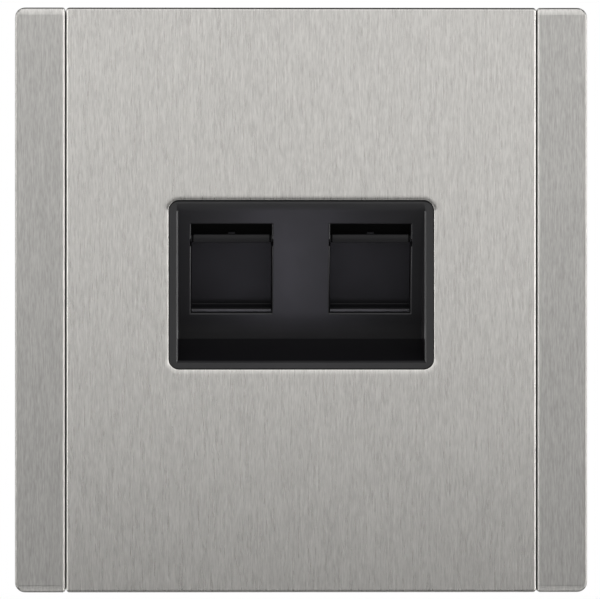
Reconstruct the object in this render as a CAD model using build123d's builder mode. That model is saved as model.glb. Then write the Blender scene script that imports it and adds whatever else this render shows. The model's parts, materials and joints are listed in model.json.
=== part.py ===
from build123d import *
import os
from math import cos, radians, sin, tan

os.makedirs("parts", exist_ok=True)

# Double data socket for a round wall box. A brushed steel cover with a steel strip down each side
# carries a sunk black outlet. The outlet's face leans back at the foot, and two data jacks
# stand square to it behind hinged dust flaps.
# X runs to the right and Z up, and the front looks along -Y. The wall is the plane Y = 0, and the
# origin lies midway between the two box screws.

# Face of the socket
overall_width = 84.2
overall_height = 86.0
front_height = 10.5
sheet = 0.8
strip_width = 7.38
strip_depth = 7.5
strip_corner = 1.5
strip_inner_corner = 0.8
strip_edge = 0.7
seam_gap = 0.15
cover_depth = 5.6
cover_corner = 0.5
cover_edge = 0.45
outlet_edge = 0.35

# Slack between pieces that are pushed together, and under a piece that seats on another
fit_gap = 0.1
seat_gap = 0.05

# Moulded frame on the wall
frame_wall = 1.4
plinth_height = 2.8
plinth_inset = 0.35
frame_opening = 66.5
frame_opening_corner = 4.0
rail_cells = 4

# Steel support ring on the wall box
ring_edge = 2.0
ring_corner = 6.0
ring_thickness = 1.2
ring_clearance = 0.3
ring_opening_margin = 1.95
ring_opening_height = 40.0
ring_opening_corner = 3.0
screw_spacing = 60.0
screw_slot_length = 7.0
screw_slot_width = 3.6

# Moulded carrier behind the steel cover, with four snap legs into the ring
carrier_wall = 1.4
carrier_ledge = 1.6
carrier_margin = 1.7
leg_spacing_x = 24.0
leg_spacing_z = 51.0
leg_width = 6.0
leg_thickness = 1.4
leg_nose = 0.6
leg_nose_length = 1.6
leg_slot_slack = 0.5

# Outlet moulding: rim, leaning face, floor and flange
outlet_width = 39.0
outlet_height = 24.8
outlet_lift = 2.2
outlet_corner = 1.5
outlet_sink = 0.2
outlet_gap = 0.05
rim_side = 1.35
rim_top = 0.95
rim_foot = 1.22
rim_edge = 0.25
rim_outer_edge = 0.12
recess_draft = 1.25
lean_angle = 22.5
bezel_wall = 1.5
bezel_flange_reach = 2.0
bezel_flange_thickness = 1.0

# Plug windows in the leaning face
port_margin = 1.95
window_width = 11.9
window_height = 14.1
window_drop = 9.82
window_edge = 0.3
tunnel_wall = 1.3
tunnel_depth = 3.0

# Dust flaps and their hinge pins
flap_side_gap = 0.08
flap_foot_gap = 0.1
flap_front = 2.2
flap_thickness = 0.6
flap_lip_front = 0.25
flap_lip_edge = 0.43
flap_lip_bend = 0.12
flap_back_bend = 1.0
hinge_drop = 2.87
hinge_depth = 1.7
barrel_radius = 0.65
barrel_end_break = 0.25
pin_radius = 0.45
pin_reach = 0.65
pin_clearance = 0.05
pin_end_gap = 0.1
pin_mouth = 1.2
pin_mouth_reach = 0.2
nub_width = 1.0
nub_height = 0.4

# Jack modules, counted inwards from the leaning face
module_drop = 0.9
housing_width = 13.9
housing_height = 15.6
housing_length = 14.9
housing_lip_reach = 1.25
housing_lip_thickness = 1.3
plug_width = 11.9
plug_height = 8.0
plug_top = 4.2
plug_depth = 12.4
latch_width = 6.2
latch_height = 2.3
latch_catch_width = 3.4
latch_catch_depth = 2.2
shield_sheet = 0.3
shield_catch_width = 6.0
shield_catch_height = 0.5
shield_catch_length = 1.8
board_width = 13.4
board_height = 15.0
board_thickness = 1.2
pin_hole_slack = 0.1

# Spring contacts
spring_count = 8
spring_pitch = 1.02
spring_width = 0.45
spring_thickness = 0.3
spring_nose = 0.4
spring_run_rise = 5.4
spring_front = 2.6
spring_tip_depth = 9.4
spring_tip_rise = 1.2
spring_drop_depth = 13.7
spring_tail_rise = 1.2
spring_stagger = 1.4
spring_tail_reach = 0.4
spring_pocket_slack = 0.3

# Wire terminals behind the board
terminal_width = 13.0
terminal_height = 14.6
terminal_length = 6.0
terminal_relief = 0.8
blades_per_row = 4
blade_pitch = 3.1
blade_row_spacing = 10.4
blade_width = 2.4
blade_thickness = 0.4
blade_length = 5.4
blade_fork_width = 0.35
blade_fork_length = 3.2
blade_pin_width = 0.7
blade_slack = 0.1
wire_slot_width = 1.1
wire_slot_length = 4.5
wire_slot_height = 3.8
cap_wall = 1.0
cap_rear_wall = 1.4
cap_overlap = 4.0
cap_space = 2.2
cap_chamfer = 0.7
cable_hole_radius = 3.7
presser_width = 0.9
presser_height = 1.3
presser_bite = 0.5

# Moulded holder that carries the two modules in the ring
holder_seat_side = 3.0
holder_seat_end = 2.5
holder_corner = 2.0
holder_thickness = 1.5
holder_window_foot = 17.0
holder_window_margin = 0.4
bay_wall = 1.4
bay_gap = 0.1
bay_length = 10.0
arm_spacing = 26.0
arm_width = 5.0
arm_thickness = 1.0
arm_nose = 0.6
arm_nose_length = 1.3

# Sizes that follow from those above
hands = ((-1, "left"), (1, "right"))
cover_width = overall_width - 2 * (strip_width + seam_gap)
strip_centre = (overall_width - strip_width) / 2
rail_width = strip_width - 2 * (sheet + fit_gap)
rail_length = overall_height - 2 * (sheet + fit_gap)
rail_front = front_height - sheet - seat_gap
cell_pitch = (rail_length - frame_wall) / rail_cells
carrier_front = front_height - sheet - seat_gap
bezel_flange_rear = carrier_front - bezel_flange_thickness
carrier_ledge_rear = bezel_flange_rear - seat_gap - carrier_ledge
rim_front = front_height - outlet_sink
lean = radians(lean_angle)
lean_depth = (outlet_height - rim_top - rim_foot) * sin(lean) * cos(lean)
down = Vector(0, sin(lean), -cos(lean))
inward = Vector(0, cos(lean), sin(lean))
brow = Vector(0, -rim_front, outlet_lift + outlet_height / 2 - rim_top)
foot = brow + down * (lean_depth / sin(lean))
ring_size = screw_spacing + screw_slot_length + 2 * ring_edge
port_pitch = outlet_width - 2 * (rim_side + port_margin) - window_width
port_centre = brow + down * window_drop
hinge_rise = window_height / 2 - hinge_drop
flap_width = window_width - 2 * flap_side_gap
flap_foot = flap_foot_gap - window_height / 2
housing_front = tunnel_depth + seat_gap
housing_lip_rear = housing_front + housing_lip_thickness
housing_rear = housing_front + housing_length
bay_width = housing_width + 2 * (seat_gap + shield_sheet + bay_gap)
bay_height = housing_height + 2 * (seat_gap + shield_sheet + bay_gap)
ring_opening_width = port_pitch + bay_width + 2 * (bay_wall + ring_opening_margin)
bay_front = housing_lip_rear + seat_gap
bay_rear = bay_front + bay_length
board_front = housing_rear + fit_gap
board_rear = board_front + board_thickness
terminal_front = board_rear + seat_gap
terminal_rear = terminal_front + terminal_length
blade_rear = terminal_rear - fit_gap
cap_front = terminal_rear - cap_overlap
cap_rear = terminal_rear + cap_space + cap_rear_wall
holder_width = ring_opening_width + 2 * holder_seat_side
holder_height = ring_opening_height + 2 * holder_seat_end
holder_rear = ring_thickness
holder_front = holder_rear + holder_thickness
spring_row = spring_count // 2
spring_span = (spring_count - 1) * spring_pitch + spring_width


def port_plane(side, depth=0.0):
    """Plane on the leaning face at one window's centre, moved inwards by depth."""
    centre = port_centre + Vector(side * port_pitch / 2, 0, 0) + inward * depth
    return Plane(origin=centre, x_dir=(1, 0, 0), z_dir=-inward)


def module_plane(side, depth):
    """Plane across one jack module, at a depth behind the leaning face."""
    plane = port_plane(side, depth)
    return Plane(origin=plane.origin + down * module_drop, x_dir=(1, 0, 0), z_dir=-inward)


def port_section(side):
    """Plane through the middle of one window, with axes inwards and up the leaning face."""
    return Plane(origin=port_plane(side).origin, x_dir=inward, z_dir=(1, 0, 0))


def module_section(side):
    """Plane through the middle of one module, from its front inwards and up the leaning face."""
    return Plane(origin=module_plane(side, housing_front).origin, x_dir=inward, z_dir=(1, 0, 0))


# Steel cover, a shallow pan with the outlet punched through it
with BuildPart() as cover_plate:
    with BuildSketch(Plane.XZ.offset(front_height)):
        RectangleRounded(cover_width, overall_height, cover_corner)
    extrude(amount=-cover_depth)
    fillet(cover_plate.faces().sort_by(Axis.Y)[0].edges(), cover_edge)
    with BuildSketch(Plane.XZ.offset(front_height - sheet)):
        Rectangle(cover_width - 2 * sheet, overall_height - 2 * sheet)
    extrude(amount=-cover_depth, mode=Mode.SUBTRACT)
    with BuildSketch(Plane.XZ.offset(front_height)):
        with Locations((0, outlet_lift)):
            RectangleRounded(
                outlet_width + 2 * outlet_gap,
                outlet_height + 2 * outlet_gap,
                outlet_corner + outlet_gap,
            )
    extrude(amount=-cover_depth, mode=Mode.SUBTRACT)
    chamfer(cover_plate.faces().sort_by(Axis.Y)[0].inner_wires().edges(), outlet_edge)
cover_plate.part.label = "cover_plate"
export_step(cover_plate.part, "parts/cover_plate.step")

# Steel strips, drawn caps that push over the frame's side rails
for side, hand in hands:
    with BuildPart() as side_strip:
        with BuildSketch(Plane.XZ.offset(front_height)) as strip_outline:
            with Locations((side * strip_centre, 0)):
                Rectangle(strip_width, overall_height)
            outer_ends, inner_ends = strip_outline.vertices().group_by(Axis.X)[:: -side]
            fillet(outer_ends, strip_corner)
            fillet(inner_ends, strip_inner_corner)
        extrude(amount=-strip_depth)
        fillet(side_strip.faces().sort_by(Axis.Y)[0].edges(), strip_edge)
        with BuildSketch(Plane.XZ.offset(front_height - sheet)):
            with Locations((side * strip_centre, 0)):
                Rectangle(strip_width - 2 * sheet, overall_height - 2 * sheet)
        extrude(amount=-strip_depth, mode=Mode.SUBTRACT)
    side_strip.part.label = f"{hand}_side_strip"
    export_step(side_strip.part, f"parts/{hand}_side_strip.step")

# Frame on the wall: a plinth over the ring, and a hollow ribbed rail inside each steel strip
with BuildPart() as base_frame:
    with BuildSketch(Plane.XZ):
        RectangleRounded(
            overall_width - 2 * plinth_inset, overall_height - 2 * plinth_inset, strip_corner
        )
    extrude(amount=plinth_height)
    with BuildSketch(Plane.XZ):
        with GridLocations(2 * strip_centre, 0, 2, 1):
            Rectangle(rail_width, rail_length)
    extrude(amount=rail_front)
    with BuildSketch(Plane.XZ) as ring_pocket:
        Rectangle(ring_size + 2 * ring_clearance, ring_size + 2 * ring_clearance)
        chamfer(ring_pocket.vertices(), ring_corner)
    extrude(amount=ring_thickness + seat_gap, mode=Mode.SUBTRACT)
    with BuildSketch(Plane.XZ):
        RectangleRounded(frame_opening, frame_opening, frame_opening_corner)
    extrude(amount=plinth_height, mode=Mode.SUBTRACT)
    with BuildSketch(Plane.XZ):
        with GridLocations(2 * strip_centre, cell_pitch, 2, rail_cells):
            Rectangle(rail_width - 2 * frame_wall, cell_pitch - frame_wall)
    extrude(amount=rail_front - frame_wall, mode=Mode.SUBTRACT)
base_frame.part.label = "base_frame"
export_step(base_frame.part, "parts/base_frame.step")

# Support ring, a punched steel plate that the box screws clamp to the wall
with BuildPart() as support_ring:
    with BuildSketch(Plane.XZ) as ring_outline:
        Rectangle(ring_size, ring_size)
        chamfer(ring_outline.vertices(), ring_corner)
        RectangleRounded(
            ring_opening_width, ring_opening_height, ring_opening_corner, mode=Mode.SUBTRACT
        )
        with GridLocations(screw_spacing, 0, 2, 1):
            SlotOverall(screw_slot_length, screw_slot_width, mode=Mode.SUBTRACT)
        with GridLocations(0, screw_spacing, 1, 2):
            SlotOverall(screw_slot_length, screw_slot_width, rotation=90, mode=Mode.SUBTRACT)
        with GridLocations(leg_spacing_x, leg_spacing_z, 2, 2):
            Rectangle(
                leg_width + 2 * leg_slot_slack,
                leg_thickness + 2 * leg_slot_slack,
                mode=Mode.SUBTRACT,
            )
    extrude(amount=ring_thickness)
support_ring.part.label = "support_ring"
export_step(support_ring.part, "parts/support_ring.step")

# Carrier behind the cover: a shell with a ledge that traps the outlet's flange, and snap legs
with BuildPart() as plate_carrier:
    carrier_width = cover_width - 2 * (sheet + fit_gap)
    carrier_height = overall_height - 2 * (sheet + fit_gap)
    with BuildSketch(Plane.XZ.offset(carrier_front)):
        Rectangle(carrier_width, carrier_height)
    extrude(amount=plinth_height + seat_gap - carrier_front)
    with BuildSketch(Plane.XZ.offset(carrier_front - carrier_wall)):
        Rectangle(carrier_width - 2 * carrier_wall, carrier_height - 2 * carrier_wall)
    extrude(amount=-carrier_front, mode=Mode.SUBTRACT)
    with BuildSketch(Plane.XZ.offset(carrier_front - carrier_wall)):
        with Locations((0, outlet_lift)):
            Rectangle(
                outlet_width + 2 * (bezel_flange_reach + carrier_margin),
                outlet_height + 2 * (bezel_flange_reach + carrier_margin),
            )
    extrude(amount=carrier_ledge_rear - carrier_front + carrier_wall)
    with BuildSketch(Plane.XZ.offset(carrier_front)):
        with Locations((0, outlet_lift)):
            RectangleRounded(
                outlet_width + 2 * (bezel_flange_reach + fit_gap),
                outlet_height + 2 * (bezel_flange_reach + fit_gap),
                outlet_corner,
            )
    extrude(amount=-bezel_flange_thickness - seat_gap, mode=Mode.SUBTRACT)
    with BuildSketch(Plane.XZ.offset(carrier_front)):
        with Locations((0, outlet_lift)):
            Rectangle(outlet_width + 2 * outlet_gap, outlet_height + 2 * outlet_gap)
    extrude(amount=-carrier_front, mode=Mode.SUBTRACT)
    with BuildSketch(Plane.XZ.offset(carrier_front - carrier_wall)):
        with GridLocations(leg_spacing_x, leg_spacing_z, 2, 2):
            Rectangle(leg_width, leg_thickness)
    extrude(amount=carrier_wall - carrier_front - seat_gap - leg_nose_length)
    for rise in (-1, 1):
        for side, hand in hands:
            with BuildSketch(Plane.YZ.offset(side * leg_spacing_x / 2 - leg_width / 2)):
                with BuildLine():
                    leg_face = rise * (leg_spacing_z + leg_thickness) / 2
                    Polyline(
                        (seat_gap, leg_face),
                        (seat_gap, leg_face + rise * leg_nose),
                        (seat_gap + leg_nose_length, leg_face),
                        (seat_gap + leg_nose_length, leg_face - rise * leg_thickness / 2),
                        (seat_gap, leg_face - rise * leg_thickness / 2),
                        close=True,
                    )
                make_face()
            extrude(amount=leg_width)
plate_carrier.part.label = "plate_carrier"
export_step(plate_carrier.part, "parts/plate_carrier.step")

# Hollow of the outlet: a wedge between the leaning face and the floor, with drafted ends
with BuildPart() as outlet_recess:
    with BuildSketch(Plane.YZ):
        with BuildLine():
            overshoot = rim_edge + outlet_sink
            brow_start = brow - down * (overshoot / sin(lean))
            floor_end = foot - inward * ((lean_depth + overshoot) / cos(lean))
            Polyline(
                (brow_start.Y, brow_start.Z),
                (foot.Y, foot.Z),
                (floor_end.Y, floor_end.Z),
                close=True,
            )
        make_face()
    extrude(amount=outlet_width / 2, both=True)
    with BuildSketch(Plane.XZ.offset(rim_front + overshoot)):
        with Locations((0, outlet_lift)):
            Rectangle(outlet_width - 2 * rim_side, outlet_height + 2 * lean_depth)
    extrude(amount=-(lean_depth + 2 * overshoot), taper=recess_draft, mode=Mode.INTERSECT)

# Outlet moulding: rim, trapped flange, wedge-shaped shell, and a short tunnel behind each window
with BuildPart() as insert_bezel:
    with BuildSketch(Plane.XZ.offset(rim_front)):
        with Locations((0, outlet_lift)):
            RectangleRounded(outlet_width, outlet_height, outlet_corner)
    extrude(amount=bezel_flange_rear - rim_front)
    with BuildSketch(Plane.XZ.offset(carrier_front)):
        with Locations((0, outlet_lift)):
            RectangleRounded(
                outlet_width + 2 * bezel_flange_reach,
                outlet_height + 2 * bezel_flange_reach,
                outlet_corner,
            )
    extrude(amount=-bezel_flange_thickness)
    with BuildSketch(Plane.YZ):
        with BuildLine():
            heel = foot + (inward + down) * bezel_wall
            shell_run = heel.Y + bezel_flange_rear
            Polyline(
                (-bezel_flange_rear, heel.Z + shell_run / tan(lean)),
                (heel.Y, heel.Z),
                (-bezel_flange_rear, heel.Z - shell_run * tan(lean)),
                close=True,
            )
        make_face()
    extrude(amount=outlet_width / 2, both=True)
    for side, hand in hands:
        with BuildSketch(port_plane(side)):
            Rectangle(window_width + 2 * tunnel_wall, window_height + 2 * tunnel_wall)
        extrude(amount=-tunnel_depth)
    add(outlet_recess.part, mode=Mode.SUBTRACT)
    for side, hand in hands:
        with BuildSketch(port_plane(side)):
            Rectangle(window_width, window_height)
        extrude(amount=-tunnel_depth, mode=Mode.SUBTRACT)
    leaning_face = insert_bezel.faces().filter_by(port_plane(1)).sort_by(SortBy.AREA)[-1]
    fillet(leaning_face.inner_wires().edges(), window_edge)
    rim_face = insert_bezel.faces().filter_by(Axis.Y).sort_by(Axis.Y)[0]
    chamfer(rim_face.inner_wires().edges().sort_by(Axis.Z)[:-1], rim_edge)
    rim_face = insert_bezel.faces().filter_by(Axis.Y).sort_by(Axis.Y)[0]
    chamfer(rim_face.outer_wire().edges(), rim_outer_edge)
    for side, hand in hands:
        with BuildSketch(port_section(side)):
            with Locations((hinge_depth, hinge_rise)):
                Circle(pin_radius + pin_clearance)
        extrude(
            amount=flap_width / 2 + pin_reach + pin_end_gap, both=True, mode=Mode.SUBTRACT
        )
        with BuildSketch(port_section(side)):
            with Locations((0, hinge_rise)):
                Rectangle(2 * hinge_depth, pin_mouth)
        extrude(amount=window_width / 2 + pin_mouth_reach, both=True, mode=Mode.SUBTRACT)
insert_bezel.part.label = "insert_bezel"
export_step(insert_bezel.part, "parts/insert_bezel.step")

# Dust flaps: a plate with a hinge barrel at the top and a nail lip at the foot
for side, hand in hands:
    with BuildPart() as flap:
        with BuildSketch(port_section(side)):
            with Locations((hinge_depth, hinge_rise)):
                Circle(barrel_radius)
        extrude(amount=flap_width / 2, both=True)
        chamfer(flap.edges().filter_by(GeomType.CIRCLE), barrel_end_break)
        with BuildSketch(port_section(side)) as flap_profile:
            with BuildLine():
                lip_top = flap_foot + flap_lip_edge
                flap_rear = flap_front + flap_thickness
                Polyline(
                    (flap_front, hinge_rise),
                    (flap_front, lip_top),
                    (flap_lip_front, lip_top),
                    (flap_lip_front, flap_foot),
                    (flap_rear, flap_foot),
                    (flap_rear, hinge_rise),
                    close=True,
                )
            make_face()
            fillet(flap_profile.vertices().sort_by_distance((flap_front, lip_top))[0], flap_lip_bend)
            fillet(flap_profile.vertices().sort_by_distance((flap_rear, flap_foot))[0], flap_back_bend)
        extrude(amount=flap_width / 2, both=True)
        with BuildSketch(port_section(side)):
            with Locations((hinge_depth, hinge_rise)):
                Circle(pin_radius)
        extrude(amount=flap_width / 2 + pin_reach, both=True)
        with BuildSketch(port_section(side)):
            with Locations((hinge_depth, hinge_rise + barrel_radius)):
                Rectangle(nub_height, 2 * nub_height)
        extrude(amount=nub_width / 2, both=True)
    flap.part.label = f"{hand}_flap"
    export_step(flap.part, f"parts/{hand}_flap.step")

# Holder in the ring: a flange on the ring's front, a leaning bay round each module, and snap arms
with BuildPart() as module_holder:
    with BuildSketch(Plane.XZ.offset(holder_rear)):
        RectangleRounded(holder_width, holder_height, holder_corner)
    extrude(amount=holder_thickness)
    with BuildSketch(Plane.XZ.offset(holder_rear)):
        bay_meets_flange = module_plane(1, bay_front).origin
        window_top = bay_meets_flange.Z + (bay_meets_flange.Y + holder_front) / tan(lean)
        window_span = window_top + holder_window_margin + holder_window_foot
        with Locations((0, window_span / 2 - holder_window_foot)):
            Rectangle(ring_opening_width - 2 * (fit_gap + arm_thickness), window_span)
    extrude(amount=holder_thickness, mode=Mode.SUBTRACT)
    for side, hand in hands:
        with BuildSketch(module_plane(side, bay_front)):
            Rectangle(bay_width + 2 * bay_wall, bay_height + 2 * bay_wall)
        extrude(amount=-bay_length)
    for side, hand in hands:
        with BuildSketch(module_plane(side, 0)):
            Rectangle(bay_width, bay_height)
        extrude(amount=-bay_rear, mode=Mode.SUBTRACT)
    for side, hand in hands:
        for rise in (-1, 1):
            with BuildSketch(Plane.XY.offset(rise * arm_spacing / 2 - arm_width / 2)):
                with BuildLine():
                    arm_face = side * (ring_opening_width / 2 - fit_gap)
                    arm_back = arm_face - side * arm_thickness
                    Polyline(
                        (arm_back, -holder_front),
                        (arm_face, -holder_front),
                        (arm_face, seat_gap),
                        (arm_face + side * arm_nose, seat_gap),
                        (arm_face, seat_gap + arm_nose_length),
                        (arm_back, seat_gap + arm_nose_length),
                        close=True,
                    )
                make_face()
            extrude(amount=arm_width)
module_holder.part.label = "module_holder"
export_step(module_holder.part, "parts/module_holder.step")

for side, hand in hands:
    # Jack housing: a stepped plug opening, a pocket for the springs, and a lip that seats on the bay
    with BuildPart() as jack_housing:
        with BuildSketch(module_plane(side, housing_front)):
            Rectangle(
                housing_width + 2 * housing_lip_reach, housing_height + 2 * housing_lip_reach
            )
        extrude(amount=-housing_lip_thickness)
        with BuildSketch(module_plane(side, housing_front)):
            Rectangle(housing_width, housing_height)
        extrude(amount=-housing_length)
        with BuildSketch(module_plane(side, housing_front)):
            with Locations((0, plug_top)):
                Rectangle(plug_width, plug_height, align=(Align.CENTER, Align.MAX))
        extrude(amount=-plug_depth, mode=Mode.SUBTRACT)
        latch_top = plug_top - plug_height
        with BuildSketch(module_plane(side, housing_front)):
            with Locations((0, latch_top)):
                Rectangle(latch_catch_width, latch_height, align=(Align.CENTER, Align.MAX))
        extrude(amount=-plug_depth, mode=Mode.SUBTRACT)
        with BuildSketch(module_plane(side, housing_front + latch_catch_depth)):
            with Locations((0, latch_top)):
                Rectangle(latch_width, latch_height, align=(Align.CENTER, Align.MAX))
        extrude(amount=latch_catch_depth - plug_depth, mode=Mode.SUBTRACT)
        with BuildSketch(module_section(side)):
            with BuildLine():
                pocket_roof = spring_run_rise + spring_thickness + spring_pocket_slack
                pocket_front = spring_front - spring_thickness - spring_pocket_slack
                pocket_drop = spring_drop_depth - spring_thickness - spring_pocket_slack
                pocket_foot = spring_tail_rise - spring_thickness - spring_pocket_slack
                Polyline(
                    (pocket_front, plug_top),
                    (pocket_front, pocket_roof),
                    (housing_length, pocket_roof),
                    (housing_length, pocket_foot),
                    (pocket_drop, pocket_foot),
                    (pocket_drop, plug_top),
                    close=True,
                )
            make_face()
        extrude(
            amount=spring_span / 2 + spring_pocket_slack, both=True, mode=Mode.SUBTRACT
        )
    jack_housing.part.label = f"{hand}_jack_housing"
    export_step(jack_housing.part, f"parts/{hand}_jack_housing.step")

    # Spring contacts: flat strips that rise behind the plug space, run forward over it and turn back
    # down into it, with their tails in two rows on the board
    with BuildPart() as contact_springs:
        for row, tail_rise in enumerate((spring_tail_rise, spring_tail_rise + spring_stagger)):
            for place in range(spring_row):
                across = (2 * place + row - (spring_count - 1) / 2) * spring_pitch
                section = module_section(side)
                strip_plane = Plane(
                    origin=section.origin + Vector(across - spring_width / 2, 0, 0),
                    x_dir=inward,
                    z_dir=(1, 0, 0),
                )
                tail_depth = board_rear + spring_tail_reach - housing_front
                with BuildSketch(strip_plane):
                    with BuildLine():
                        Polyline(
                            (spring_drop_depth, spring_run_rise),
                            (spring_front + spring_nose, spring_run_rise),
                            (spring_front, spring_run_rise - spring_nose),
                            (spring_front + spring_nose, spring_run_rise - 2 * spring_nose),
                            (spring_tip_depth, spring_tip_rise),
                        )
                    trace(line_width=spring_thickness)
                    with Locations((spring_drop_depth, spring_run_rise + spring_thickness / 2)):
                        Rectangle(
                            spring_thickness,
                            spring_run_rise - tail_rise + spring_thickness,
                            align=(Align.CENTER, Align.MAX),
                        )
                    with Locations((spring_drop_depth, tail_rise)):
                        Rectangle(
                            tail_depth - spring_drop_depth,
                            spring_thickness,
                            align=(Align.MIN, Align.CENTER),
                        )
                extrude(amount=spring_width)
    contact_springs.part.label = f"{hand}_contact_springs"
    export_step(contact_springs.part, f"parts/{hand}_contact_springs.step")

    # Shield: a folded steel sleeve round the housing, with two catches behind the bay
    shield_width = housing_width + 2 * seat_gap
    shield_height = housing_height + 2 * seat_gap
    with BuildPart() as shield:
        with BuildSketch(module_plane(side, bay_front)):
            Rectangle(shield_width + 2 * shield_sheet, shield_height + 2 * shield_sheet)
            Rectangle(shield_width, shield_height, mode=Mode.SUBTRACT)
        extrude(amount=bay_front - housing_rear)
        catch_start = bay_rear + seat_gap - housing_front
        for rise in (-1, 1):
            with BuildSketch(module_section(side)):
                with BuildLine():
                    catch_base = rise * (shield_height / 2 + shield_sheet / 2)
                    catch_top = rise * (shield_height / 2 + shield_sheet + shield_catch_height)
                    Polyline(
                        (catch_start, catch_base),
                        (catch_start, catch_top),
                        (catch_start + shield_catch_length, catch_base),
                        close=True,
                    )
                make_face()
            extrude(amount=shield_catch_width / 2, both=True)
    shield.part.label = f"{hand}_shield"
    export_step(shield.part, f"parts/{hand}_shield.step")

    # Circuit board across the back of the jack, drilled for the spring tails and the blade pins
    with BuildPart() as circuit_board:
        with BuildSketch(module_plane(side, board_front)):
            Rectangle(board_width, board_height)
            for row, tail_rise in enumerate((spring_tail_rise, spring_tail_rise + spring_stagger)):
                with Locations(((row - 1 / 2) * spring_pitch, tail_rise)):
                    with GridLocations(2 * spring_pitch, 0, spring_row, 1):
                        Rectangle(
                            spring_width + 2 * pin_hole_slack,
                            spring_thickness + 2 * pin_hole_slack,
                            mode=Mode.SUBTRACT,
                        )
            with GridLocations(blade_pitch, blade_row_spacing, blades_per_row, 2):
                Rectangle(
                    blade_pin_width + 2 * pin_hole_slack,
                    blade_thickness + 2 * pin_hole_slack,
                    mode=Mode.SUBTRACT,
                )
        extrude(amount=-board_thickness)
    circuit_board.part.label = f"{hand}_circuit_board"
    export_step(circuit_board.part, f"parts/{hand}_circuit_board.step")

    # Terminal block: two rows of wire slots, each crossed by the slot of its forked blade
    with BuildPart() as terminal_block:
        with BuildSketch(module_plane(side, terminal_front)):
            Rectangle(terminal_width, terminal_height)
        extrude(amount=-terminal_length)
        with BuildSketch(module_plane(side, terminal_front)):
            with Locations((0, spring_tail_rise + spring_stagger / 2)):
                Rectangle(spring_span + 2 * spring_stagger, 2 * spring_stagger + spring_thickness)
        extrude(amount=-terminal_relief, mode=Mode.SUBTRACT)
        slot_centre = (terminal_height - wire_slot_height) / 2
        with BuildSketch(module_plane(side, terminal_rear)):
            with GridLocations(blade_pitch, 2 * slot_centre, blades_per_row, 2):
                Rectangle(wire_slot_width, wire_slot_height)
        extrude(amount=wire_slot_length, mode=Mode.SUBTRACT)
        with BuildSketch(module_plane(side, terminal_rear)):
            with GridLocations(blade_pitch, blade_row_spacing, blades_per_row, 2):
                Rectangle(blade_width + 2 * blade_slack, blade_thickness + 2 * blade_slack)
        extrude(amount=terminal_length, mode=Mode.SUBTRACT)
    terminal_block.part.label = f"{hand}_terminal_block"
    export_step(terminal_block.part, f"parts/{hand}_terminal_block.step")

    # Terminal blades: flat forks that cut into the wires, with a pin into the board
    with BuildPart() as terminal_blades:
        for rise in (-1, 1):
            blade_centre = module_plane(side, blade_rear).origin - down * (rise * blade_row_spacing / 2)
            blade_plane = Plane(origin=blade_centre, x_dir=(1, 0, 0), z_dir=down)
            with BuildSketch(blade_plane):
                with GridLocations(blade_pitch, 0, blades_per_row, 1):
                    Rectangle(blade_width, blade_length, align=(Align.CENTER, Align.MIN))
                    Rectangle(
                        blade_fork_width,
                        blade_fork_length,
                        align=(Align.CENTER, Align.MIN),
                        mode=Mode.SUBTRACT,
                    )
                    Rectangle(
                        blade_pin_width, blade_rear - board_front, align=(Align.CENTER, Align.MIN)
                    )
            extrude(amount=blade_thickness / 2, both=True)
    terminal_blades.part.label = f"{hand}_terminal_blades"
    export_step(terminal_blades.part, f"parts/{hand}_terminal_blades.step")

    # Wire cap: pushes the wires into the forks, with the cable entry in its back
    with BuildPart() as wire_cap:
        cap_bore_width = terminal_width + 2 * seat_gap
        cap_bore_height = terminal_height + 2 * seat_gap
        with BuildSketch(module_plane(side, cap_front)):
            Rectangle(cap_bore_width + 2 * cap_wall, cap_bore_height + 2 * cap_wall)
        extrude(amount=cap_front - cap_rear)
        cap_back = wire_cap.faces().filter_by(module_plane(side, 0)).sort_by(Axis.Y)[-1]
        chamfer(cap_back.edges(), cap_chamfer)
        with BuildSketch(module_plane(side, cap_front)):
            Rectangle(cap_bore_width, cap_bore_height)
        extrude(amount=cap_front - cap_rear + cap_rear_wall, mode=Mode.SUBTRACT)
        with BuildSketch(module_plane(side, cap_rear)):
            Circle(cable_hole_radius)
        extrude(amount=cap_rear_wall, mode=Mode.SUBTRACT)
        presser_centre = (terminal_height - presser_height) / 2
        with BuildSketch(module_plane(side, cap_rear)):
            with GridLocations(blade_pitch, 2 * presser_centre, blades_per_row, 2):
                Rectangle(presser_width, presser_height)
        extrude(amount=cap_rear_wall + cap_space + presser_bite)
    wire_cap.part.label = f"{hand}_wire_cap"
    export_step(wire_cap.part, f"parts/{hand}_wire_cap.step")
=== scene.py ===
import json
from math import cos, hypot, radians, sin

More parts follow.
